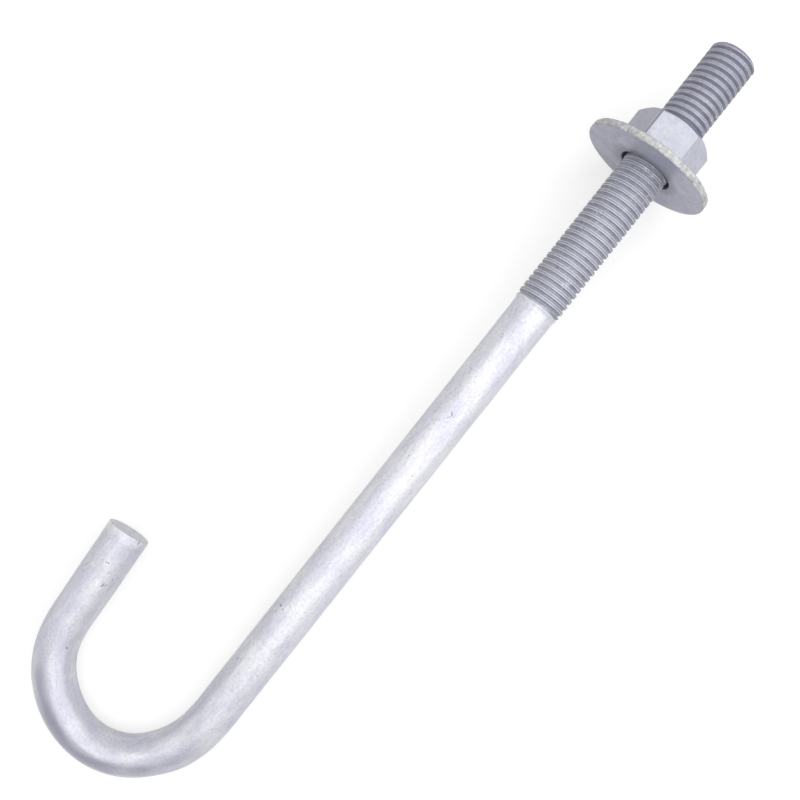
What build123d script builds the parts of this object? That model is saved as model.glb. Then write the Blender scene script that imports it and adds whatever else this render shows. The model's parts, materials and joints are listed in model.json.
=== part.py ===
from build123d import *
from math import asin, atan2, cos, degrees, hypot, radians, sin, sqrt, tan
import os

# A hot-dip galvanised J bolt, 5/8-11 by 12 inch, with its flat washer and hexagon nut.
#
# The bolt is drawn along its own axis: X runs from the start of the bend to the threaded
# end, and the hook curls towards +Y. The finished assembly is then laid on the floor as it
# comes to rest, on the hook's crown and the washer's rim. Millimetres and degrees.

# Bar.
shank_diameter = 14.6
shank_length = 165.0

# Hook: a cold bend, which follows its former loosely. Each stretch of the bar's centreline has
# its own radius and turn, from the shank round to the straight leg.
lead_in_radius, lead_in_turn = 62.8, 7.0
shoulder_radius, shoulder_turn = 32.6, 38.0
crown_radius, crown_turn = 24.9, 68.7
slack_radius, slack_turn = 34.5, 21.3
heel_radius, heel_turn = 26.7, 32.3
lead_out_radius, lead_out_turn = 50.7, 8.7
leg_length = 33.5
tip_lean = 7.0
tip_edge_radius = 0.9

# Threaded length, 5/8-11 UNC: drawn plain, at the diameter of the thread's crests.
thread_diameter = 15.875
thread_length = 102.0
point_diameter = 14.3
point_angle = 45.0
run_out_diameter = 14.2
run_out_length = 0.9
collar_diameter = 15.3
collar_length = 1.6

# Nut: finished hexagon, chamfered on both faces.
nut_across_flats = 23.6
nut_thickness = 13.6
nut_face_diameter = 21.2
nut_chamfer_angle = 30.0
nut_turn = 4.4
nut_mouth_diameter = 16.8
thread_past_nut = 29.1

# Washer.
washer_outer_diameter = 44.45
washer_hole_diameter = 18.1
washer_thickness = 2.5
washer_rim_chamfer = 0.45
washer_hole_chamfer = 0.3

# Radial running clearance between the nut and the thread's crests.
thread_clearance = 0.10

# Stations along the bolt's axis.
thread_start = shank_length
thread_end = thread_start + thread_length
nut_top = thread_end - thread_past_nut
nut_bottom = nut_top - nut_thickness
washer_bottom = nut_bottom - washer_thickness


def hook_path():
    """Centreline of the bar, from the thread back along the shank and round the hook."""
    stretches = [
        (lead_in_radius, lead_in_turn),
        (shoulder_radius, shoulder_turn),
        (crown_radius, crown_turn),
        (slack_radius, slack_turn),
        (heel_radius, heel_turn),
        (lead_out_radius, lead_out_turn),
    ]
    with BuildLine() as path:
        last = Line((thread_start, 0), (0, 0))
        for radius, turn in stretches:
            last = JernArc(start=last @ 1, tangent=last % 1, radius=radius, arc_size=-turn)
        Line(last @ 1, last @ 1 + (last % 1) * leg_length)
    return path.wires()[0]


def plain_bar(path):
    """The round bar along its path, with the tip cut a little out of square and its edge eased."""
    bar = sweep((path ^ 0) * Circle(shank_diameter / 2), path=path)
    tip = path @ 1
    along = path % 1
    lean = radians(tip_lean)
    cut_normal = along * cos(lean) - Vector(0, 0, sin(lean))
    cut = Plane(origin=tip - along * (shank_diameter / 2 * tan(lean)), z_dir=cut_normal)
    beyond_cut = Cylinder(shank_diameter, shank_diameter, align=(Align.CENTER, Align.CENTER, Align.MIN))
    bar -= cut.location * beyond_cut
    tip_face = bar.faces().sort_by_distance(tip)[0]
    return fillet(tip_face.edges(), tip_edge_radius)


def turned(profile):
    """A solid of revolution about the bolt's axis, from (station, radius) corners."""
    with BuildPart() as result:
        with BuildSketch():
            with BuildLine():
                Polyline(*profile, close=True)
            make_face()
        revolve(axis=Axis.X)
    return result.part


def threaded_end():
    """Rolled collar at the end of the shank, run-out groove, threaded length and chamfered point."""
    shank_radius = shank_diameter / 2
    collar_radius = collar_diameter / 2
    run_out_radius = run_out_diameter / 2
    thread_radius = thread_diameter / 2
    point_radius = point_diameter / 2
    collar_end = thread_start + collar_length
    groove_end = collar_end + run_out_length
    point_start = thread_end - (thread_radius - point_radius) / tan(radians(point_angle))
    return turned([
        (thread_start, 0),
        (thread_start, shank_radius),
        (collar_end, collar_radius),
        (collar_end + run_out_length / 2, run_out_radius),
        (groove_end, thread_radius),
        (point_start, thread_radius),
        (thread_end, point_radius),
        (thread_end, 0),
    ])


def hook_bolt():
    return plain_bar(hook_path()) + threaded_end()


def flat_washer():
    ring = Cylinder(washer_outer_diameter / 2, washer_thickness)
    ring -= Cylinder(washer_hole_diameter / 2, washer_thickness)
    circles = ring.edges().filter_by(GeomType.CIRCLE).sort_by(SortBy.RADIUS)
    ring = chamfer(circles[:2], washer_hole_chamfer)
    circles = ring.edges().filter_by(GeomType.CIRCLE).sort_by(SortBy.RADIUS)
    ring = chamfer(circles[-2:], washer_rim_chamfer)
    middle = washer_bottom + washer_thickness / 2
    return Location((middle, 0, 0), (0, 90, 0)) * ring


def hex_nut():
    corner_radius = nut_across_flats / sqrt(3)
    face_radius = nut_face_diameter / 2
    chamfer_height = (corner_radius - face_radius) * tan(radians(nut_chamfer_angle))
    over = 1.0
    over_height = over * tan(radians(nut_chamfer_angle))
    blank = Plane.YZ.offset(nut_bottom) * RegularPolygon(corner_radius, 6)
    body = extrude(blank, nut_thickness)
    body &= turned([
        (nut_bottom, 0),
        (nut_bottom, face_radius),
        (nut_bottom + chamfer_height + over_height, corner_radius + over),
        (nut_top - chamfer_height - over_height, corner_radius + over),
        (nut_top, face_radius),
        (nut_top, 0),
    ])
    body = Rot(-nut_turn, 0, 0) * body
    bore_radius = thread_diameter / 2 + thread_clearance
    mouth_radius = nut_mouth_diameter / 2
    mouth_depth = mouth_radius - bore_radius
    return body - turned([
        (nut_bottom, 0),
        (nut_bottom, mouth_radius),
        (nut_bottom + mouth_depth, bore_radius),
        (nut_top - mouth_depth, bore_radius),
        (nut_top, mouth_radius),
        (nut_top, 0),
    ])


def lay_down(parts, path):
    """Turn the parts so that the crown and the washer's rim rest on the floor, centred on the origin."""
    crown = path.bounding_box().min.X
    reach = washer_bottom + washer_rim_chamfer - crown
    rim_radius = washer_outer_diameter / 2
    bar_radius = shank_diameter / 2
    tilt = degrees(atan2(rim_radius, reach) - asin(bar_radius / hypot(rim_radius, reach)))
    tilted = [Rot(0, -tilt, 0) * part for part in parts]
    boxes = [part.bounding_box() for part in tilted]
    low_x = min(box.min.X for box in boxes)
    high_x = max(box.max.X for box in boxes)
    low_y = min(box.min.Y for box in boxes)
    high_y = max(box.max.Y for box in boxes)
    low_z = min(box.min.Z for box in boxes)
    shift = Location((-(low_x + high_x) / 2, -(low_y + high_y) / 2, -low_z))
    return [shift * part for part in tilted]


names = ["hook_bolt", "flat_washer", "hex_nut"]
solids = lay_down([hook_bolt(), flat_washer(), hex_nut()], hook_path())
os.makedirs("parts", exist_ok=True)
for name, solid in zip(names, solids):
    export_step(solid, f"parts/{name}.step")
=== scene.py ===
import json
from math import atan2, ceil, cos, hypot, pi, radians, sin, tan

import bmesh
import bpy
import numpy as np
from mathutils import Matrix, Vector, noise


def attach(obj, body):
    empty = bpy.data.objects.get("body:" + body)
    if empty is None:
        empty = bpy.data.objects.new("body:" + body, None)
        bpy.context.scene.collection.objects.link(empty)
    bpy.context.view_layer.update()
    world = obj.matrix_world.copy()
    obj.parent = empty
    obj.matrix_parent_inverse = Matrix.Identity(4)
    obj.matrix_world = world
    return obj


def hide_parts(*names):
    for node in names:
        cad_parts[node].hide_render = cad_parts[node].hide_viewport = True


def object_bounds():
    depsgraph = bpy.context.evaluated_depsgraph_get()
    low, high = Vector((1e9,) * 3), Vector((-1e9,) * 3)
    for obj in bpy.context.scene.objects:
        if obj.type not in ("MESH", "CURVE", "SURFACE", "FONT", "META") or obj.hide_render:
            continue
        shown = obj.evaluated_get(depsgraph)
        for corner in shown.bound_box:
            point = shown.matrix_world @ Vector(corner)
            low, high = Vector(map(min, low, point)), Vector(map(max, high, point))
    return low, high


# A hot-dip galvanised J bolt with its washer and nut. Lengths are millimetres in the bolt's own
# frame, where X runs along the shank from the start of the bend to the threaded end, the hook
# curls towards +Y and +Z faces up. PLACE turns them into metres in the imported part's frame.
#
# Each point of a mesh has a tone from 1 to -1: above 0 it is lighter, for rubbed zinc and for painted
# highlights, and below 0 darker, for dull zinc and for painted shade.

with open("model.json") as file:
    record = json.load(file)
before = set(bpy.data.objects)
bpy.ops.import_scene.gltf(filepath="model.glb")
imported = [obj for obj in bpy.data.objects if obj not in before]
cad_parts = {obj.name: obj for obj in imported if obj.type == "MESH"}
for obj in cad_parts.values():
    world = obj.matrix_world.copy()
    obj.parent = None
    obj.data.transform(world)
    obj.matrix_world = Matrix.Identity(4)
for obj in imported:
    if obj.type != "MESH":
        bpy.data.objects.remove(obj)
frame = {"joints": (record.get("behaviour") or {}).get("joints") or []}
cad_low, cad_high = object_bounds()
MM = 0.001

# Bar and hook, as in the part: each stretch of the hook has a radius and a turn in degrees.
BAR_RADIUS = 7.3
BAR_COLUMNS = 80
SHANK_LENGTH = 165.0
HOOK_STRETCHES = ((62.8, 7.0), (32.6, 38.0), (24.9, 68.7), (34.5, 21.3), (26.7, 32.3), (50.7, 8.7))
LEG_LENGTH = 33.5
CENTRELINE_STEP = 1.2

# Sawn tip, with a crisper edge than the part's. Its face has rings at these shares of its rim, and
# the tones go row by row from the middle of the face round the edge to the bar.
TIP_LEAN = radians(7.0)
TIP_RIM_RADIUS = 7.2
TIP_EDGE_RADIUS = 0.35
TIP_REACH = 2 * TIP_EDGE_RADIUS + 2 * BAR_RADIUS * tan(TIP_LEAN)
TIP_RINGS = (0.0, 0.25, 0.5, 0.75, 0.9)
TIP_EDGE_STEPS = 6
TIP_TONES = (-0.3, -0.3, -0.3, -0.3, -0.3, -0.3, -0.5, -0.6, -0.5, -0.2, 0.0, 0.0, 0.0)

# Cold bending flattens the bar a little on both sides: how deep, and where that starts, is full,
# starts to end and has ended, as distances round the hook from the end of the straight shank.
OUTER_FLAT = (0.65, (16.0, 28.0, 50.0, 70.0))
INNER_FLAT = (0.7, (18.0, 50.0, 70.0, 118.0))

# The coat is a little duller round the hook, given in the same way, and more so in a streaky patch
# on top of the bend, whose middle and half width are angles round the bar.
DULL_HOOK = (0.33, (-60.0, 15.0, 160.0, 170.0))
DULL_PATCH = (0.55, (-4.0, 48.0, 60.0, 92.0))
DULL_PATCH_ANGLE = radians(110)
DULL_PATCH_HALF_WIDTH = radians(38)
# The patch's streaks are drawn out along the bar, and take its dullness from a least share of it to
# a most. The hook's own dullness is nowhere below its least share.
STREAK_DRAWN = 4.0
STREAK_LEAST = 0.15
STREAK_MOST = 1.2
HOOK_LEAST = 0.7

# The coat's unevenness fades out over these lengths at both ends of the bar and of the thread.
BAR_EASE = 3.0
THREAD_EASE = 0.6

# Collar with a rolled lip, and the groove after it with one bright ridge, both crisper than the
# part's. Each point is given by its distance from the lip's edge, its radius and its tone, which
# is one for the whole lip. The groove's floor is painted dark as shade.
COLLAR_LENGTH = 1.6
COLLAR_RADIUS = 7.78
COLLAR_PROFILE = ((-COLLAR_LENGTH, BAR_RADIUS, 0.0), (-0.7, 7.45, 0.0))
LIP_CORNER = ((-0.3, COLLAR_RADIUS - 0.04), (0.0, COLLAR_RADIUS), (0.06, COLLAR_RADIUS - 0.2))
LIP_STEPS = 4
LIP_TONE = 0.2
GROOVE_LENGTH = 0.55
GROOVE_RADIUS = 7.1
GROOVE_PROFILE = (
    (0.13, 7.2, -1.0), (0.24, 7.2, -1.0), (0.33, 7.42, 0.5), (0.43, 7.4, 0.5),
    (GROOVE_LENGTH, GROOVE_RADIUS, -1.0),
)

# Thread, 5/8-11 UNC, right-hand, with the full roots and dished crests of a rolled, dipped thread.
# It grows out of the groove over THREAD_FADE, and ends in a chamfered point.
PITCH = 25.4 / 11
CREST_RADIUS = 7.9375
ROOT_RADIUS = 7.22
THREAD_LENGTH = 102.0
THREAD_FADE = 0.5
POINT_RADIUS = 7.15
# Half a pitch of the profile, from the middle of a crest: distance along the axis, how much of
# the thread's depth is gone there, and its tone. The tone paints highlights on the lines along the
# crests' edges, which are also rubbed bright, and shade down the flanks into the roots.
THREAD_PROFILE = (
    (0.0, 0.08, -0.3), (0.25, 0.05, -0.3), (0.31, 0.0, 0.75), (0.46, 0.02, 0.75), (0.52, 0.13, 0.0),
    (0.70, 0.50, -0.5), (0.86, 0.78, -0.8), (0.95, 0.93, -1.0), (1.04, 0.99, -1.0), (PITCH / 2, 1.0, -0.9),
)
# Where they are deeper than CREST_BAND, the grooves' painted shade is scaled by this much below and
# above the nut's lower face, give or take half of the spread after them.
CREST_BAND = 0.15
LOWER_GROOVE_SHADE = 0.15
UPPER_GROOVE_SHADE = 0.85
GROOVE_SHADE_SPREAD = 0.6
# Above the nut the lines along the crests are dimmed as painted shade: their tone is scaled and then
# lowered.
UPPER_LINE_SHADE = (0.65, 0.1)
# The chamfered point, with all that lies within POINT_BAND of it, is darker, and the edge of the
# bolt's end is lighter.
POINT_TONE = -0.8
POINT_BAND = 0.02
END_EDGE_TONE = 0.8
END_EDGE_WIDTH = 0.1
END_RINGS = (0.0, 0.3, 0.6, 0.85, 1.0)
END_TONES = (0.0, 0.0, 0.0, 0.1)

# Nut.
NUT_FLATS = 23.6
NUT_THICKNESS = 13.6
NUT_FACE_RADIUS = 10.6
NUT_CHAMFER = radians(30.0)
NUT_TURN = radians(-4.4)
NUT_FLAT_ANGLE = radians(30.0)
NUT_MOUTH_RADIUS = 8.4
NUT_CORNER_RADIUS = 0.4
NUT_EDGE_EASE = 0.32
NUT_CLEARANCE = 0.2
THREAD_PAST_NUT = 29.1
# Half of the angle that one side of a hexagon takes up.
HALF_SIDE = pi / 6
# Columns from the middle of a flat to its eased corner, rows over the chamfer and up a side, as
# shares; rings on a face, as radius and how far the columns have gone from even to the hexagon's.
NUT_FLAT_COLUMNS = (0.0, 0.25, 0.5, 0.75, 0.96)
NUT_CORNER_STEPS = 3
NUT_FACE_RINGS = ((NUT_MOUTH_RADIUS, 0.0), (9.1, 0.4), (9.9, 0.8), (NUT_FACE_RADIUS - 0.15, 1.0))
NUT_CHAMFER_ROWS = (0.06, 0.3, 0.6)
NUT_EDGE_ROWS = (0.0, 0.25, 0.5, 0.75, 1.0)
NUT_SIDE_ROWS = (0.03, 0.25, 0.5, 0.75, 0.97)
# Tones, all painted light and shade: shade on the chamfers and on the flats on the hook's side, a
# highlight on the corners, and a dark line of shade along the one corner between the top flat and the
# flat on the hook's side. Those flats' shade comes in between two angles from the nut's top. A column
# is at a corner within NUT_CORNER_BAND of its radius and within NUT_CORNER_ANGLE of its angle.
LOWER_CHAMFER_SHADE = -1.0
UPPER_CHAMFER_SHADE = -0.7
NUT_FLAT_SHADE = -0.27
NUT_FLAT_SHADE_ANGLES = (0.4, 0.6)
NUT_CORNER_HIGHLIGHT = 0.1
NUT_SHADED_CORNER_TONE = -0.65
NUT_CORNER_BAND = 0.16
NUT_CORNER_ANGLE = 0.1

# Washer: its lower edge is rolled over and its upper edge is sheared. The coat is uneven near the
# rim and ragged below the sheared edge. Shade is painted round the hole and on the sheared edge, as
# far as SHEARED_REACH below the upper face and in from the rim.
WASHER_RADIUS = 22.225
WASHER_HOLE_RADIUS = 9.05
WASHER_THICKNESS = 2.5
WASHER_COLUMNS = 320
WASHER_FACE_RINGS = 9
WASHER_RIM_ROWS = 7
ROLLED_ROUND = 0.55
ROLLED_STEPS = 5
SHEARED_ROUND = 0.25
SHEARED_STEPS = 4
HOLE_ROUND = 0.3
HOLE_STEPS = 3
UNEVEN_WIDTH = 1.5
RAGGED_HEIGHT = 0.9
HOLE_SHADE = -1.0
SHEARED_EDGE_SHADE = -0.7
SHEARED_REACH = (0.2, 0.24)
# Round the hole painted shade lowers the tone from 0 at the first radius to the last figure, by 1 in so
# many mm.
WASHER_HOLE_SHADE = (14.0, 7.0, -0.5)

THREAD_START = SHANK_LENGTH + COLLAR_LENGTH + GROOVE_LENGTH
THREAD_END = SHANK_LENGTH + THREAD_LENGTH
NUT_TOP = THREAD_END - THREAD_PAST_NUT
NUT_BOTTOM = NUT_TOP - NUT_THICKNESS
WASHER_BOTTOM = NUT_BOTTOM - WASHER_THICKNESS

# Points of one piece this near to each other are one point, and edges sharper than this look sharp.
MERGE = 0.002
SHARP = radians(42)
# Rows this near to a station belong to it.
SAME_STATION = 0.01

# Studio, in metres: a round floor, a cove that curves up from it and a wall.
FLOOR_RADIUS = 1.8
FLOOR_RINGS = (0.4, 1.0, FLOOR_RADIUS)
COVE_RADIUS = 0.8
COVE_STEPS = 12
WALL_HEIGHTS = (1.3, 1.8)
FLOOR_SIDES = 96
# The floor as the camera and reflections see it, as it lights the bolt, and its glow to the camera.
FLOOR_SEEN = 0.42
FLOOR_LIGHTING = 0.25
FLOOR_GLOW = 0.66
SKY_STRENGTH = 0.2
# Square soft lamps: power in watts, side and distance in metres, lean and heading in degrees.
LAMPS = (
    ("softbox", 24.0, 2.2, 1.15, 20.0, -52.0),
    ("side_light", 2.3, 0.9, 1.1, 43.0, 122.0),
)

# Camera: millimetres for the lens and sensor, metres for where it looks, from the middle of the
# part, and for its distance. It is turned from straight down, by degrees about each axis.
LENS = 42.3
SENSOR_WIDTH = 36.0
CAMERA_NEAR = 0.01
CAMERA_AIM = (0.0037, -0.0057)
CAMERA_DISTANCE = 0.3184
CAMERA_TURNS = (("Y", -1.55), ("X", 0.50), ("Z", -51.68))


# ---------------------------------------------------------------- placing

def bolt_frame():
    """The matrix from the bolt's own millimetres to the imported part's metres, from the nut's joint."""
    joint = next(j for j in frame["joints"] if j["name"] == "nut_turn")
    along = Vector(joint["axis"]).normalized()
    side = Vector((0, 1, 0))
    up = along.cross(side)
    turn = Matrix((along, side, up)).transposed()
    nut_middle = Vector((NUT_BOTTOM + NUT_THICKNESS / 2, 0, 0)) * MM
    origin = Vector(joint["pos_m"]) - turn @ nut_middle
    return Matrix.Translation(origin) @ turn.to_4x4() @ Matrix.Scale(MM, 4)


PLACE = bolt_frame()


# ---------------------------------------------------------------- mesh building

def polar(x, radius, angle):
    """Points at stations x along the bolt's axis; angle 0 is +Y and 90 degrees is +Z."""
    x, radius, angle = np.broadcast_arrays(x, radius, angle)
    return np.stack([x, radius * np.cos(angle), radius * np.sin(angle)], axis=-1)


def joined(mesh):
    """Join the mesh's grids into one closed surface, with its sharp edges marked."""
    work = bmesh.new()
    work.from_mesh(mesh)
    bmesh.ops.remove_doubles(work, verts=work.verts, dist=MERGE)
    bmesh.ops.dissolve_degenerate(work, edges=work.edges, dist=MERGE)
    bmesh.ops.recalc_face_normals(work, faces=work.faces)
    for face in work.faces:
        face.smooth = True
    for edge in work.edges:
        edge.smooth = len(edge.link_faces) == 2 and edge.calc_face_angle() < SHARP
    work.to_mesh(mesh)
    work.free()


def mesh_from_grids(name, grids):
    """One closed mesh from grids of points; grids that meet are joined along their edges.

    Each grid comes with its material's number and its tone, one number or one at each point. Where
    the piece is bent, a fourth entry says where its points lie before bending, for the textures.
    """
    points, faces, numbers, tones, lays = [], [], [], [], []
    start = 0
    for grid, number, tone, *unbent in grids:
        rows, columns = grid.shape[:2]
        index = start + np.arange(rows * columns).reshape(rows, columns)
        quads = np.stack([index[:-1, :-1], index[:-1, 1:], index[1:, 1:], index[1:, :-1]], axis=-1)
        faces.append(quads.reshape(-1, 4))
        numbers.append(np.full(len(faces[-1]), number))
        points.append(grid.reshape(-1, 3))
        tones.append(np.broadcast_to(tone, (rows, columns)).ravel())
        lays.append((unbent[0] if unbent else grid).ravel())
        start += rows * columns
    mesh = bpy.data.meshes.new(name)
    mesh.from_pydata(np.concatenate(points).tolist(), [], np.concatenate(faces).tolist())
    mesh.polygons.foreach_set("material_index", np.concatenate(numbers).astype(np.int32))
    tone_layer = mesh.attributes.new("tone", "FLOAT", "POINT")
    tone_layer.data.foreach_set("value", np.concatenate(tones).astype(np.float32))
    lay_layer = mesh.attributes.new("lay", "FLOAT_VECTOR", "POINT")
    lay_layer.data.foreach_set("vector", np.concatenate(lays).astype(np.float32))
    joined(mesh)
    mesh.transform(PLACE)
    piece = bpy.data.objects.new(name, mesh)
    bpy.context.scene.collection.objects.link(piece)
    return piece


def dressed(piece, body, node, slot, *materials):
    """The piece moves with its body, its CAD node is hidden, and it wears these materials."""
    for material in materials:
        piece.data.materials.append(material)
    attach(piece, body)
    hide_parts(node)


def lumps(points, size, depth, seed):
    """How far an uneven zinc coat falls short of its full thickness at each point: 0 to depth."""
    shift = Vector((seed, -seed, 0.5 * seed))
    flat = points.reshape(-1, 3)
    values = [noise.noise(Vector(point) / size + shift) for point in flat.tolist()]
    return depth * (0.5 - 0.5 * np.array(values)).reshape(points.shape[:-1])


def round_corner(before, corner, after, steps):
    """Points of a smooth curve from before to after that leans into the corner, ends included."""
    before, corner, after = (np.array(point, float) for point in (before, corner, after))
    share = np.linspace(0, 1, steps + 1)[:, None]
    return (1 - share) ** 2 * before + 2 * share * (1 - share) * corner + share ** 2 * after


def smooth(share):
    """The share, held to 0 to 1, with a gentle start and end."""
    share = np.clip(share, 0, 1)
    return share * share * (3 - 2 * share)


def rise_and_fall(distance, depth, stations):
    """Nothing, rising smoothly to depth between the first two stations and back between the others."""
    start, full, leaving, end = stations
    rising = (distance - start) / (full - start)
    falling = (end - distance) / (end - leaving)
    return depth * smooth(np.minimum(rising, falling))


# ---------------------------------------------------------------- bolt

def hook_centreline():
    """Centreline points and headings of the bar, from the tip of the hook to the collar."""
    here = np.array([SHANK_LENGTH, 0.0])
    heading = pi
    points, headings = [], []

    def straight(length):
        nonlocal here
        run = np.array([cos(heading), sin(heading)]) * length
        count = ceil(length / CENTRELINE_STEP)
        for step in range(count):
            points.append(here + run * step / count)
            headings.append(heading)
        here = here + run

    straight(SHANK_LENGTH)
    for radius, degrees in HOOK_STRETCHES:
        turn = radians(degrees)
        centre = here + radius * np.array([sin(heading), -cos(heading)])
        count = ceil(radius * turn / CENTRELINE_STEP)
        for step in range(count):
            angle = heading - turn * step / count
            points.append(centre - radius * np.array([sin(angle), -cos(angle)]))
            headings.append(angle)
        heading -= turn
        here = centre - radius * np.array([sin(heading), -cos(heading)])
    straight(LEG_LENGTH - TIP_REACH)
    points.append(here)
    headings.append(heading)
    return np.array(points[::-1]), np.array(headings[::-1])


def bar_tone(round_hook, angles, surface, unbent):
    """The bar's tone: a slightly duller hook, and dull streaks in a patch on top of the bend."""
    from_patch = np.abs(angles - DULL_PATCH_ANGLE)
    patch = rise_and_fall(round_hook, *DULL_PATCH) * smooth(1 - from_patch / DULL_PATCH_HALF_WIDTH)
    streaks = STREAK_LEAST + lumps(unbent / (STREAK_DRAWN, 1, 1), size=2.2, depth=1.5, seed=8.3)
    streaks = np.clip(streaks, 0, STREAK_MOST)
    clouds = HOOK_LEAST + lumps(surface, size=5.0, depth=0.6, seed=8.3)
    return -patch * streaks - rise_and_fall(round_hook, *DULL_HOOK) * clouds


def bar_grid(angles):
    """The plain bar from the tip's edge to the collar, flattened by bending and unevenly coated.

    Gives the bar's points, those of the same bar before bending, and its tone. Then come the middle
    and the heading of its end at the tip.
    """
    centres, headings = hook_centreline()
    steps = np.linalg.norm(np.diff(centres, axis=0), axis=1)
    distance = np.concatenate([[0], np.cumsum(steps)])[:, None]
    round_hook = distance[-1] - distance - SHANK_LENGTH
    inner = rise_and_fall(round_hook, *INNER_FLAT)
    outer = rise_and_fall(round_hook, *OUTER_FLAT)
    flattened = BAR_RADIUS - np.where(np.cos(angles) > 0, inner, outer)
    side = np.stack([np.sin(headings), -np.cos(headings)], axis=-1)
    across = side[:, None, :] * np.cos(angles)[None, :, None]
    height = np.broadcast_to(np.sin(angles), flattened.shape)[..., None]
    surface = np.concatenate([centres[:, None, :] + across * flattened[..., None], BAR_RADIUS * height], -1)
    unbent = polar(SHANK_LENGTH - distance[-1] + distance, BAR_RADIUS, angles)
    short = lumps(surface, size=9.0, depth=0.10, seed=3.1) + lumps(surface, size=2.6, depth=0.05, seed=7.7)
    short *= np.clip(np.minimum(distance, distance[-1] - distance) / BAR_EASE, 0, 1)
    coated = surface - np.concatenate([across, height], -1) * short[..., None]
    return coated, unbent, bar_tone(round_hook, angles, surface, unbent), centres[0], headings[0]


def tip_grid(angles, start, heading, unbent_start):
    """The sawn tip, a little out of square, with its edge eased: from its middle out to the bar.

    Gives its points, where they lie before bending, and its tone.
    """
    middle = TIP_REACH - BAR_RADIUS * tan(TIP_LEAN)
    rim, ease = TIP_RIM_RADIUS, TIP_EDGE_RADIUS
    face = [(rim * share, 0) for share in TIP_RINGS]
    edge = round_corner((rim - ease, 0), (rim, 0), (rim, -ease), TIP_EDGE_STEPS).tolist()
    rings = []
    for radius, back in face + edge:
        rings.append((radius, middle + back + radius * np.sin(angles) * tan(TIP_LEAN)))
    rings.append((BAR_RADIUS, np.zeros_like(angles)))
    centre = np.array([start[0], start[1], 0])
    ahead = np.array([cos(heading), sin(heading), 0])
    across = np.stack([sin(heading) * np.cos(angles), -cos(heading) * np.cos(angles), np.sin(angles)], -1)
    rows = [centre + along[:, None] * ahead + radius * across for radius, along in rings]
    unbent = [polar(unbent_start - along, radius, angles) for radius, along in rings]
    return np.array(rows), np.array(unbent), np.array(TIP_TONES)[:, None]


def thread_profile(x, angle):
    """Radius and tone of an endless right-hand thread at station x and polar angle."""
    phase = (x - PITCH * angle / (2 * pi)) % PITCH
    from_crest = np.minimum(phase, PITCH - phase)
    along, gone, tone = zip(*THREAD_PROFILE)
    depth = (CREST_RADIUS - ROOT_RADIUS) * np.interp(from_crest, along, gone)
    return CREST_RADIUS - depth, np.interp(from_crest, along, tone)


def helical_stations(low, high, angles):
    """Stations that follow the thread's helix at each angle, held between two square ends."""
    half = [offset for offset, _, _ in THREAD_PROFILE]
    turn = np.array(half[:-1] + [PITCH - offset for offset in half[:0:-1]])
    turns = np.arange(ceil((high - low) / PITCH) + 3)
    first = (low // PITCH - 1) * PITCH
    stations = (first + turns[:, None] * PITCH + turn).ravel()
    return np.clip(stations[:, None] + PITCH * angles / (2 * pi), low, high)


def shaded_thread_tone(x, radius, tone, surface):
    """The thread's tone: its profile's, with the grooves' painted shade scaled, little below the nut's
    lower face and much above it, the crest lines dimmed by painted shade above the nut, and that of its two
    ends.
    """
    groove_shade = np.where(x < NUT_BOTTOM, LOWER_GROOVE_SHADE, UPPER_GROOVE_SHADE) - GROOVE_SHADE_SPREAD / 2
    groove_shade = groove_shade + lumps(surface, size=3.0, depth=GROOVE_SHADE_SPREAD, seed=2.9)
    # Painted shade: the grooves are darkened, more above the nut.
    in_groove = (tone < 0) & (radius < CREST_RADIUS - CREST_BAND)
    tone = np.where(in_groove, tone * groove_shade, tone)
    # Painted shade: the crest lines are dimmer above the nut.
    scale, lowered = UPPER_LINE_SHADE
    tone = np.where((x > NUT_TOP) & (tone > 0), scale * tone - lowered, tone)
    tone = np.where(POINT_RADIUS + THREAD_END - x < radius + POINT_BAND, POINT_TONE, tone)
    tone = np.where(x > THREAD_END - END_EDGE_WIDTH, END_EDGE_TONE, tone)
    # The bottom of the groove, where the thread starts, is painted dark as shade.
    return np.where(x < THREAD_START + SAME_STATION, -1.0, tone)


def thread_grid(angles):
    """The threaded length, from the bottom of the run-out groove to the chamfered point's end."""
    x = helical_stations(THREAD_START, THREAD_END, angles)
    radius, tone = thread_profile(x, angles)
    radius = GROOVE_RADIUS + (radius - GROOVE_RADIUS) * smooth((x - THREAD_START) / THREAD_FADE)
    radius = np.minimum(radius, POINT_RADIUS + THREAD_END - x)
    surface = polar(x, radius, angles)
    short = lumps(surface, size=1.6, depth=0.06, seed=5.3)
    short *= np.clip(np.minimum(x - THREAD_START, THREAD_END - x) / THREAD_EASE, 0, 1)
    return polar(x, radius - short, angles), shaded_thread_tone(x, radius, tone, surface)


def collar_grid(angles):
    """The rolled lip where the shank stops, and the groove between it and the thread."""
    lip = [(ahead, radius, LIP_TONE) for ahead, radius in round_corner(*LIP_CORNER, LIP_STEPS).tolist()]
    profile = np.array([*COLLAR_PROFILE, *lip, *GROOVE_PROFILE])
    ahead, radius, tone = profile.T[:, :, None]
    return polar(SHANK_LENGTH + COLLAR_LENGTH + ahead, radius, angles), tone


def end_grid(rim):
    """The bolt's flat end, from its middle out to the given rim."""
    middle = rim.mean(axis=0)
    grid = np.array([middle + (rim - middle) * share for share in END_RINGS])
    return grid, np.array([*END_TONES, END_EDGE_TONE])[:, None]


def hook_bolt():
    """The bar with its hook, collar and thread, as one closed mesh."""
    angles = np.linspace(0, 2 * pi, BAR_COLUMNS + 1)
    bar, unbent_bar, bar_tones, tip_start, tip_heading = bar_grid(angles)
    tip, unbent_tip, tip_tones = tip_grid(angles, tip_start, tip_heading, unbent_bar[0, 0, 0])
    collar, collar_tones = collar_grid(angles)
    thread, thread_tones = thread_grid(angles)
    end, end_tones = end_grid(thread[-1])
    return mesh_from_grids("galvanised_hook_bolt", [
        (tip, 0, tip_tones, unbent_tip),
        (bar, 0, bar_tones, unbent_bar),
        (collar, 0, collar_tones),
        (thread, 1, thread_tones),
        (end, 1, end_tones),
    ])


# ---------------------------------------------------------------- washer

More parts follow.
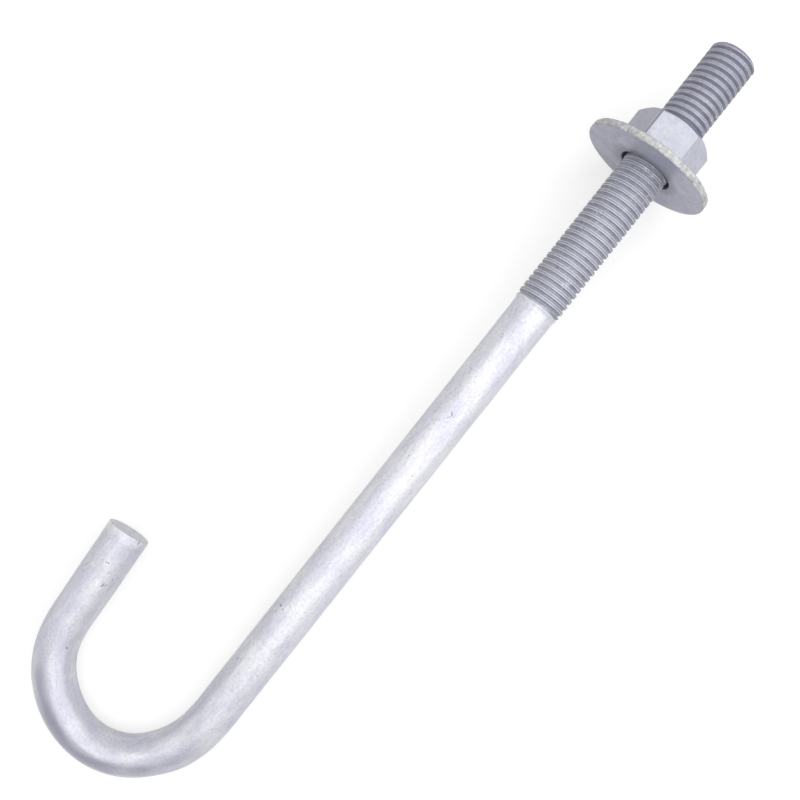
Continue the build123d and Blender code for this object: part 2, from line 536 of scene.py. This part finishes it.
def washer_section():
    """Stations and radii round the washer's section, and the rows where its rim starts and ends.

    The section goes out over the lower face, up the rim, in over the upper face and down the hole.
    """
    low, high = WASHER_BOTTOM, NUT_BOTTOM
    rim, hole = WASHER_RADIUS, WASHER_HOLE_RADIUS
    rolled, sheared, fine = ROLLED_ROUND, SHEARED_ROUND, HOLE_ROUND
    outward = np.linspace(hole + fine, rim - rolled, WASHER_FACE_RINGS)
    upward = np.linspace(low + rolled, high - sheared, WASHER_RIM_ROWS)
    inward = np.linspace(rim - sheared, hole + fine, WASHER_FACE_RINGS)
    section = [(low, radius) for radius in outward[:-1]]
    rim_start = len(section) + 1
    section += [*round_corner((low, rim - rolled), (low, rim), (low + rolled, rim), ROLLED_STEPS)]
    section += [(station, rim) for station in upward[1:-1]]
    section += [*round_corner((high - sheared, rim), (high, rim), (high, rim - sheared), SHEARED_STEPS)]
    rim_end = len(section)
    section += [(high, radius) for radius in inward[1:-1]]
    section += [*round_corner((high, hole + fine), (high, hole), (high - fine, hole), HOLE_STEPS)]
    section += [((low + high) / 2, hole)]
    section += [*round_corner((low + fine, hole), (low, hole), (low, hole + fine), HOLE_STEPS)]
    x, radius = np.array(section).T[:, :, None]
    return x, radius, rim_start, rim_end


def flat_washer():
    """The punched washer: a rounded edge towards the hook, a rough one towards the nut, an uneven rim."""
    x, radius, rim_start, rim_end = washer_section()
    angles = np.linspace(0, 2 * pi, WASHER_COLUMNS + 1)
    surface = polar(x, radius, angles)
    surface[:, -1] = surface[:, 0]
    near_rim = np.clip((radius - (WASHER_RADIUS - UNEVEN_WIDTH)) / UNEVEN_WIDTH, 0, 1)
    near_edge = near_rim * np.clip((x - (NUT_BOTTOM - RAGGED_HEIGHT)) / RAGGED_HEIGHT, 0, 1)
    uneven = lumps(surface, size=1.3, depth=0.14, seed=2.3) + lumps(surface, size=4.5, depth=0.10, seed=9.1)
    ragged = lumps(surface, size=1.7, depth=0.30, seed=6.6)
    above_middle = np.sign(x - (WASHER_BOTTOM + NUT_BOTTOM) / 2)
    thinner = lumps(surface, size=6.0, depth=0.05, seed=4.2) * above_middle
    shape = polar(x - thinner, radius - uneven * near_rim - ragged * near_edge, angles)
    # Painted shade: darker towards the hole, darkest on the hole's wall, and a dark line along the sheared
    # edge where it meets the nut.
    start, fall, least = WASHER_HOLE_SHADE
    tone = np.clip((radius - start) / fall, least, 0.0)
    tone = np.where(radius < WASHER_HOLE_RADIUS + HOLE_ROUND / 2, HOLE_SHADE, tone)
    below, inside = SHEARED_REACH
    tone = np.where((x > NUT_BOTTOM - below) & (radius > WASHER_RADIUS - inside), SHEARED_EDGE_SHADE, tone)
    return mesh_from_grids("galvanised_flat_washer", [
        (shape[:rim_start + 1], 0, tone[:rim_start + 1]),
        (shape[rim_start:rim_end], 1, tone[rim_start:rim_end]),
        (shape[rim_end - 1:], 0, tone[rim_end - 1:]),
    ])


# ---------------------------------------------------------------- nut

def hexagon():
    """Polar angles and radii of a hexagon with eased corners, starting at the middle of a flat."""
    half_flat = NUT_FLATS / 2
    straight = half_flat * tan(HALF_SIDE) - NUT_CORNER_RADIUS * tan(HALF_SIDE)
    outline = [(half_flat, share * straight) for share in NUT_FLAT_COLUMNS]
    for step in range(NUT_CORNER_STEPS):
        swing = HALF_SIDE * step / NUT_CORNER_STEPS
        out = half_flat - NUT_CORNER_RADIUS + NUT_CORNER_RADIUS * cos(swing)
        outline.append((out, straight + NUT_CORNER_RADIUS * sin(swing)))
    half = [(atan2(along, out), hypot(along, out)) for out, along in outline]
    corner = (HALF_SIDE, half_flat / cos(HALF_SIDE) - NUT_CORNER_RADIUS * (1 / cos(HALF_SIDE) - 1))
    side = half + [corner] + [(2 * HALF_SIDE - angle, radius) for angle, radius in half[:0:-1]]
    whole = [(angle + 2 * HALF_SIDE * turn, radius) for turn in range(6) for angle, radius in side]
    whole.append((2 * pi, half_flat))
    return np.array(whole).T


def nut_side_tone(angles, radii):
    """The tone of the nut's sides at each column of the hexagon: painted shade on the flats on the hook's
    side and along one corner, and a painted highlight on the other corners.
    """
    round_nut = angles + NUT_FLAT_ANGLE
    from_top = np.abs((round_nut - pi / 2 + pi) % (2 * pi) - pi)
    on_hook_side = np.sin(round_nut - pi / 2) < 0
    start, full = NUT_FLAT_SHADE_ANGLES
    # Painted shade on the flats on the hook's side, away from the top.
    tone = np.where(on_hook_side, NUT_FLAT_SHADE, 0.0) * np.clip((from_top - start) / (full - start), 0, 1)
    at_corner = radii > NUT_FLATS / 2 / cos(HALF_SIDE) - NUT_CORNER_BAND
    # Painted shade: a dark line along the corner between the top flat and the flat on the hook's side.
    shaded_corner = np.abs(from_top - HALF_SIDE) < NUT_CORNER_ANGLE
    shaded_corner &= round_nut % (2 * pi) < pi / 2
    return np.where(at_corner, np.where(shaded_corner, NUT_SHADED_CORNER_TONE, NUT_CORNER_HIGHLIGHT), tone)


def nut_end(face, inward, chamfer_shade, angles, radii, side_tone):
    """Rows from the mouth of the bore out over one face and its chamfer to the side.

    A row has its stations, radii, angles and tones.
    """
    even_angles = np.linspace(0, 2 * pi, len(angles))
    beyond_face = radii - NUT_FACE_RADIUS
    chamfer = beyond_face * tan(NUT_CHAMFER)
    ease = NUT_EDGE_EASE * np.minimum(1, beyond_face)
    rows = []
    for radius, share in NUT_FACE_RINGS:
        rows.append((face, radius, even_angles + (angles - even_angles) * share, 0.0))
    for share in NUT_CHAMFER_ROWS:
        station = face + inward * chamfer * share
        rows.append((station, NUT_FACE_RADIUS + beyond_face * share, angles, chamfer_shade))
    for share in NUT_EDGE_ROWS:
        near, middle, far = (1 - share) ** 2, 2 * share * (1 - share), share ** 2
        station = near * (chamfer - ease * sin(NUT_CHAMFER)) + middle * chamfer + far * (chamfer + ease)
        radius = radii - near * ease * cos(NUT_CHAMFER)
        tone = chamfer_shade if share <= 0.5 else side_tone
        rows.append((face + inward * station, radius, angles, tone))
    return [np.broadcast_arrays(*row) for row in rows]


def nut_bore(angles):
    """The threaded bore from its lower mouth to its upper one, and its tone."""
    x = helical_stations(NUT_BOTTOM, NUT_TOP, angles)
    # The bore's grooves take the profile's painted shade.
    radius, tone = thread_profile(x, angles + NUT_TURN)
    from_face = np.minimum(x - NUT_BOTTOM, NUT_TOP - x)
    radius = np.maximum(radius + NUT_CLEARANCE, NUT_MOUTH_RADIUS - from_face)
    tone = np.where(from_face < SAME_STATION, 0.0, tone)
    return polar(x, radius, angles + NUT_TURN), tone


def hex_nut():
    """The nut: outside from its lower mouth round to the upper one, and the thread inside."""
    angles, radii = hexagon()
    side_tone = nut_side_tone(angles, radii)
    # Both chamfers are painted dark as shade, most where the nut meets the washer.
    lower = nut_end(NUT_BOTTOM, 1, LOWER_CHAMFER_SHADE, angles, radii, side_tone)
    upper = nut_end(NUT_TOP, -1, UPPER_CHAMFER_SHADE, angles, radii, side_tone)
    low, high = lower[-1][0], upper[-1][0]
    sides = [(low + (high - low) * share, radii, angles, side_tone) for share in NUT_SIDE_ROWS]
    x, radius, angle, tone = (np.array(values) for values in zip(*lower, *sides, *upper[::-1]))
    angle = angle + NUT_FLAT_ANGLE + NUT_TURN
    surface = polar(x, radius, angle)
    short = lumps(surface, size=5.0, depth=0.06, seed=6.4) + lumps(surface, size=1.8, depth=0.03, seed=1.9)
    short *= np.clip(radius - NUT_FACE_RADIUS, 0, 1)
    outside = polar(x, radius - short, angle)
    bore, bore_tone = nut_bore(np.linspace(0, 2 * pi, len(angles)))
    return mesh_from_grids("galvanised_hex_nut", [(outside, 0, tone), (bore, 1, bore_tone)])


# ---------------------------------------------------------------- materials

class Nodes:
    """A short way to add shader nodes and join them."""

    def __init__(self, name):
        self.material = bpy.data.materials.new(name)
        self.material.use_nodes = True
        self.tree = self.material.node_tree
        self.shader = self.tree.nodes["Principled BSDF"]

    def join(self, value, socket):
        """Link another node's output to the socket, or set a plain value on it."""
        if hasattr(value, "is_linked"):
            self.tree.links.new(value, socket)
        else:
            socket.default_value = value

    def noise(self, size, detail=3.0, rough=0.55, distortion=0.0, drawn_out=1.0):
        """Noise whose lumps are about size millimetres wide, and drawn out along the bar."""
        place = self.tree.nodes.new("ShaderNodeMapping")
        place.inputs["Scale"].default_value = (1 / drawn_out, 1, 1)
        self.join(self.attribute("lay", "Vector"), place.inputs["Vector"])
        node = self.tree.nodes.new("ShaderNodeTexNoise")
        node.inputs["Scale"].default_value = 1 / size
        node.inputs["Detail"].default_value = detail
        node.inputs["Roughness"].default_value = rough
        node.inputs["Distortion"].default_value = distortion
        self.join(place.outputs["Vector"], node.inputs["Vector"])
        return node.outputs["Fac"]

    def ramp(self, value, low, high, start=0.0, end=1.0):
        """value from low to high becomes start to end, and stays there outside."""
        node = self.tree.nodes.new("ShaderNodeMapRange")
        node.interpolation_type = "SMOOTHSTEP"
        for name, number in (("From Min", low), ("From Max", high), ("To Min", start), ("To Max", end)):
            node.inputs[name].default_value = number
        self.join(value, node.inputs["Value"])
        return node.outputs["Result"]

    def mix(self, share, first, second, blend="MIX"):
        """The first colour, with this share of the second mixed in."""
        node = self.tree.nodes.new("ShaderNodeMix")
        node.data_type = "RGBA"
        node.blend_type = blend
        self.join(share, node.inputs["Factor"])
        self.join(first, node.inputs["A"])
        self.join(second, node.inputs["B"])
        return node.outputs["Result"]

    def attribute(self, name, output="Fac"):
        """What the mesh says about each of its points under this name."""
        node = self.tree.nodes.new("ShaderNodeAttribute")
        node.attribute_name = name
        return node.outputs[output]

    def maths(self, operation, first, second):
        """The result of a Math node on two values."""
        node = self.tree.nodes.new("ShaderNodeMath")
        node.operation = operation
        self.join(first, node.inputs[0])
        self.join(second, node.inputs[1])
        return node.outputs["Value"]

    def bump(self, height, distance, normal=None):
        """A bump of distance millimetres, on top of another one if there is one."""
        node = self.tree.nodes.new("ShaderNodeBump")
        node.inputs["Distance"].default_value = distance * MM
        self.join(height, node.inputs["Height"])
        if normal is not None:
            self.join(normal, node.inputs["Normal"])
        return node.outputs["Normal"]


def zinc(name, light, tint, dull_and_shade, shine_and_highlight, roughness, metallic,
         cloud=9.0, drawn=1.0, smear=0.5, grain=0.1, speck=0.2, pits=1.0, bumps=0.1):
    """Hot-dip zinc: tinted clouds, smears drawn out along the bar, fine grain, specks and rimmed pits.

    The mesh's tone turns it towards the shine colour above 0, for rubbed zinc and painted highlights,
    and towards the dull colour below 0, for dull zinc and painted shade. cloud is a size in millimetres,
    and drawn is how far the clouds and smears are drawn out.
    """
    nodes = Nodes(name)
    light, tint, dull_and_shade, shine_and_highlight = ((*colour, 1) for colour in (light, tint, dull_and_shade, shine_and_highlight))
    half_drawn = 0.5 + 0.5 * drawn
    billows = nodes.noise(size=cloud, detail=3.0, rough=0.6, distortion=0.4, drawn_out=half_drawn)
    colour = nodes.mix(nodes.ramp(billows, 0.38, 0.62), light, tint)
    runs = nodes.noise(size=1.8, detail=4.0, rough=0.65, distortion=0.5, drawn_out=drawn)
    smears = nodes.ramp(runs, 0.42, 0.66, 0.0, smear)
    colour = nodes.mix(smears, colour, tint, "MULTIPLY")
    fine = nodes.ramp(nodes.noise(size=0.9, detail=3.0, rough=0.7), 0.40, 0.64)
    colour = nodes.mix(nodes.maths("MULTIPLY", fine, grain), colour, tint, "MULTIPLY")
    specks = nodes.ramp(nodes.noise(size=0.9, detail=2.0, rough=0.6), 0.64, 0.74, 0.0, speck)
    patches = nodes.ramp(nodes.noise(size=12.0, detail=2.0), 0.48, 0.58)
    little_drawn = 0.8 + 0.2 * drawn
    hollow = nodes.noise(size=2.1, detail=4.0, rough=0.65, distortion=0.8, drawn_out=little_drawn)
    cut = nodes.maths("MULTIPLY", nodes.ramp(hollow, 0.64, 0.68, 0.0, pits), patches)
    rim = nodes.maths("MULTIPLY", nodes.ramp(hollow, 0.595, 0.63, 0.0, 0.8 * pits), patches)
    colour = nodes.mix(rim, colour, shine_and_highlight)
    marks = nodes.maths("MAXIMUM", specks, cut)
    colour = nodes.mix(marks, colour, dull_and_shade)
    tone = nodes.attribute("tone")
    # Below 0 the tone paints shade and dull zinc, above 0 highlights and rubbed zinc.
    colour = nodes.mix(nodes.ramp(tone, 0.0, -1.0), colour, dull_and_shade)
    colour = nodes.mix(nodes.ramp(tone, 0.0, 1.0), colour, shine_and_highlight)
    nodes.join(colour, nodes.shader.inputs["Base Color"])
    nodes.shader.inputs["Metallic"].default_value = metallic
    nodes.shader.inputs["Specular IOR Level"].default_value = 0.2
    rough = nodes.ramp(smears, 0.0, 1.0, roughness - 0.05, roughness + 0.15)
    nodes.join(rough, nodes.shader.inputs["Roughness"])
    swells = nodes.noise(size=2.4, detail=3.0, rough=0.6, drawn_out=0.7 + 0.3 * drawn)
    relief = nodes.maths("SUBTRACT", fine, marks)
    surface = nodes.bump(relief, 0.3 * bumps, nodes.bump(swells, bumps))
    nodes.join(surface, nodes.shader.inputs["Normal"])
    return nodes.material


def floor_material():
    """White to the camera and to reflections, duller in the light that it throws back on the bolt."""
    nodes = Nodes("pale_floor")
    path = nodes.tree.nodes.new("ShaderNodeLightPath").outputs
    mirrored = nodes.maths("MAXIMUM", path["Is Glossy Ray"], path["Is Transmission Ray"])
    seen = nodes.maths("MAXIMUM", path["Is Camera Ray"], mirrored)
    unseen_grey, seen_grey = ((level, level, level, 1) for level in (FLOOR_LIGHTING, FLOOR_SEEN))
    nodes.join(nodes.mix(seen, unseen_grey, seen_grey), nodes.shader.inputs["Base Color"])
    nodes.shader.inputs["Emission Color"].default_value = (1, 1, 1, 1)
    nodes.join(nodes.maths("MULTIPLY", seen, FLOOR_GLOW), nodes.shader.inputs["Emission Strength"])
    nodes.shader.inputs["Roughness"].default_value = 0.9
    nodes.shader.inputs["Specular IOR Level"].default_value = 0.0
    return nodes.material


# ---------------------------------------------------------------- studio

def soft_lamp(name, energy, size, distance, lean, heading):
    """A square area lamp that faces the origin from above, leaning towards the heading."""
    lamp = bpy.data.lights.new(name, "AREA")
    lamp.shape = "SQUARE"
    lamp.size = size
    lamp.energy = energy
    holder = bpy.data.objects.new(name, lamp)
    holder.matrix_world = (
        Matrix.Rotation(radians(heading), 4, "Z")
        @ Matrix.Rotation(radians(lean), 4, "Y")
        @ Matrix.Translation((0, 0, distance))
    )
    holder.visible_camera = False
    bpy.context.scene.collection.objects.link(holder)


def cove():
    """A wide round floor that curves up into a pale wall."""
    profile = [(radius, 0.0) for radius in FLOOR_RINGS]
    for swing in np.linspace(0, pi / 2, COVE_STEPS + 1)[1:]:
        profile.append((FLOOR_RADIUS + COVE_RADIUS * sin(swing), COVE_RADIUS - COVE_RADIUS * cos(swing)))
    profile += [(FLOOR_RADIUS + COVE_RADIUS, height) for height in WALL_HEIGHTS]
    turns = [2 * pi * side / FLOOR_SIDES for side in range(FLOOR_SIDES)]
    points = []
    for radius, height in profile:
        points += [(radius * cos(turn), radius * sin(turn), height) for turn in turns]
    centre = len(points)
    faces = [(centre, side, (side + 1) % FLOOR_SIDES) for side in range(FLOOR_SIDES)]
    for ring in range(len(profile) - 1):
        near, far = ring * FLOOR_SIDES, (ring + 1) * FLOOR_SIDES
        for side in range(FLOOR_SIDES):
            after = (side + 1) % FLOOR_SIDES
            faces.append((near + side, far + side, far + after, near + after))
    mesh = bpy.data.meshes.new("floor")
    mesh.from_pydata(points + [(0.0, 0.0, 0.0)], [], faces)
    mesh.polygons.foreach_set("use_smooth", [True] * len(faces))
    floor = bpy.data.objects.new("floor", mesh)
    bpy.context.scene.collection.objects.link(floor)
    floor.data.materials.append(floor_material())


def studio():
    """A pale cove under an even pale sky, a very broad soft lamp above and a weak one from the side."""
    cove()
    world = bpy.data.worlds.new("soft_white")
    bpy.context.scene.world = world
    world.use_nodes = True
    background = world.node_tree.nodes["Background"]
    background.inputs["Color"].default_value = (1.0, 1.0, 1.0, 1)
    background.inputs["Strength"].default_value = SKY_STRENGTH
    for lamp in LAMPS:
        soft_lamp(*lamp)


def camera():
    """Looks almost straight down, with the threaded end at the upper right."""
    data = bpy.data.cameras.new("camera")
    data.lens = LENS
    data.sensor_width = SENSOR_WIDTH
    data.clip_start = CAMERA_NEAR
    eye = bpy.data.objects.new("camera", data)
    middle = (Vector(cad_low) + Vector(cad_high)) / 2
    place = Matrix.Translation((middle.x + CAMERA_AIM[0], middle.y + CAMERA_AIM[1], 0))
    for axis, degrees in CAMERA_TURNS:
        place = place @ Matrix.Rotation(radians(degrees), 4, axis)
    eye.matrix_world = place @ Matrix.Translation((0, 0, CAMERA_DISTANCE))
    bpy.context.scene.collection.objects.link(eye)
    bpy.context.scene.camera = eye


# ---------------------------------------------------------------- the part

bright = zinc(
    "zinc_bright",
    light=(0.855, 0.855, 0.885), tint=(0.765, 0.765, 0.845), dull_and_shade=(0.38, 0.38, 0.47),
    shine_and_highlight=(0.94, 0.94, 0.955), roughness=0.36, metallic=0.32, cloud=6.0, drawn=5.0, smear=0.40,
    grain=0.5, speck=0.3,
)
thread_zinc = zinc(
    "zinc_thread",
    light=(0.47, 0.48, 0.545), tint=(0.415, 0.425, 0.505), dull_and_shade=(0.22, 0.22, 0.295),
    shine_and_highlight=(0.91, 0.92, 0.99), roughness=0.42, metallic=0.15, smear=0.2, grain=0.2, speck=0.4,
)
washer_zinc = zinc(
    "zinc_washer",
    light=(0.79, 0.80, 0.91), tint=(0.69, 0.70, 0.85), dull_and_shade=(0.22, 0.22, 0.27),
    shine_and_highlight=(0.79, 0.80, 0.90), roughness=0.40, metallic=0.15, cloud=5.0, smear=0.15, grain=0.1,
    speck=0.05, pits=0.3,
)
rim_zinc = zinc(
    "zinc_washer_rim",
    light=(0.73, 0.73, 0.725), tint=(0.63, 0.63, 0.65), dull_and_shade=(0.34, 0.34, 0.36),
    shine_and_highlight=(0.90, 0.90, 0.88), roughness=0.45, metallic=0.15, cloud=2.5, grain=0.5, speck=0.6, bumps=0.2,
)
nut_zinc = zinc(
    "zinc_nut",
    light=(0.62, 0.63, 0.695), tint=(0.57, 0.58, 0.67), dull_and_shade=(0.16, 0.16, 0.21),
    shine_and_highlight=(0.82, 0.82, 0.84), roughness=0.38, metallic=0.2, cloud=3.0, smear=0.2, speck=0.06, pits=0.3,
    bumps=0.05,
)

dressed(hook_bolt(), "bolt", "hook_bolt", "bolt_zinc", bright, thread_zinc)
dressed(flat_washer(), "washer", "flat_washer", "washer_zinc", washer_zinc, rim_zinc)
dressed(hex_nut(), "nut", "hex_nut", "nut_zinc", nut_zinc, thread_zinc)

studio()
camera()
bpy.context.scene.view_settings.view_transform = "Standard"
